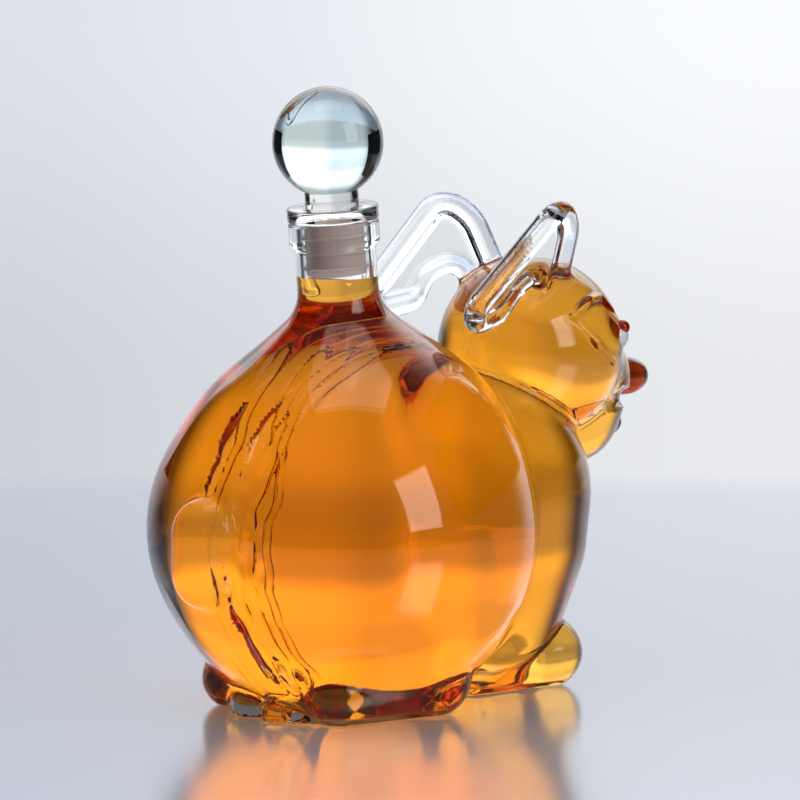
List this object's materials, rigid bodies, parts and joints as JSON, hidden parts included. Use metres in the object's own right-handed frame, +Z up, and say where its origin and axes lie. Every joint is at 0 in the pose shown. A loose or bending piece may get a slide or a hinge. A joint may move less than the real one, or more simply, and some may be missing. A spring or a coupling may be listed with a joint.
{
  "type": "figural liquor decanter",
  "caption": "Hollow glass decanter in the shape of a sitting rabbit, with a neck on its rump and a ball stopper on a ribbed plug.",
  "frame": {"origin": "on the plane that the feet rest on, in the middle of the flat under the rump", "axes": "+Z up, +X the way the rabbit faces; the body is alike on both sides of the XZ plane"},
  "size_m": [0.204, 0.1262, 0.1992],
  "materials": {
    "bottle_glass": "clear blown glass, fire polished",
    "white_glass": "opaque white glass bead",
    "red_glass": "opaque red glass bead",
    "amber_glass": "dark amber glass",
    "smoke_glass": "smoke-grey solid glass, polished",
    "clear_plastic": "clear moulded acrylic",
    "soft_plastic": "translucent soft plug"
  },
  "bodies": {
    "bottle": {"body_bulb": "bottle_glass", "head_bulb": "bottle_glass", "neck_finish": "bottle_glass", "tail": "bottle_glass", "left_ear": "bottle_glass", "right_ear": "bottle_glass", "left_eye_white": "white_glass", "right_eye_white": "white_glass", "left_iris": "red_glass", "right_iris": "red_glass", "nose": "amber_glass", "lip_bead": "smoke_glass"},
    "stopper": {"stopper_ball": "smoke_glass", "stopper_cap": "clear_plastic", "stopper_sleeve": "soft_plastic"}
  },
  "joints": [
    {"name": "stopper_lift", "type": "slide", "parent": "bottle", "child": "stopper", "axis": [-0.0906, 0, 0.9959], "range_m": [0, 0.04]}
  ]
}
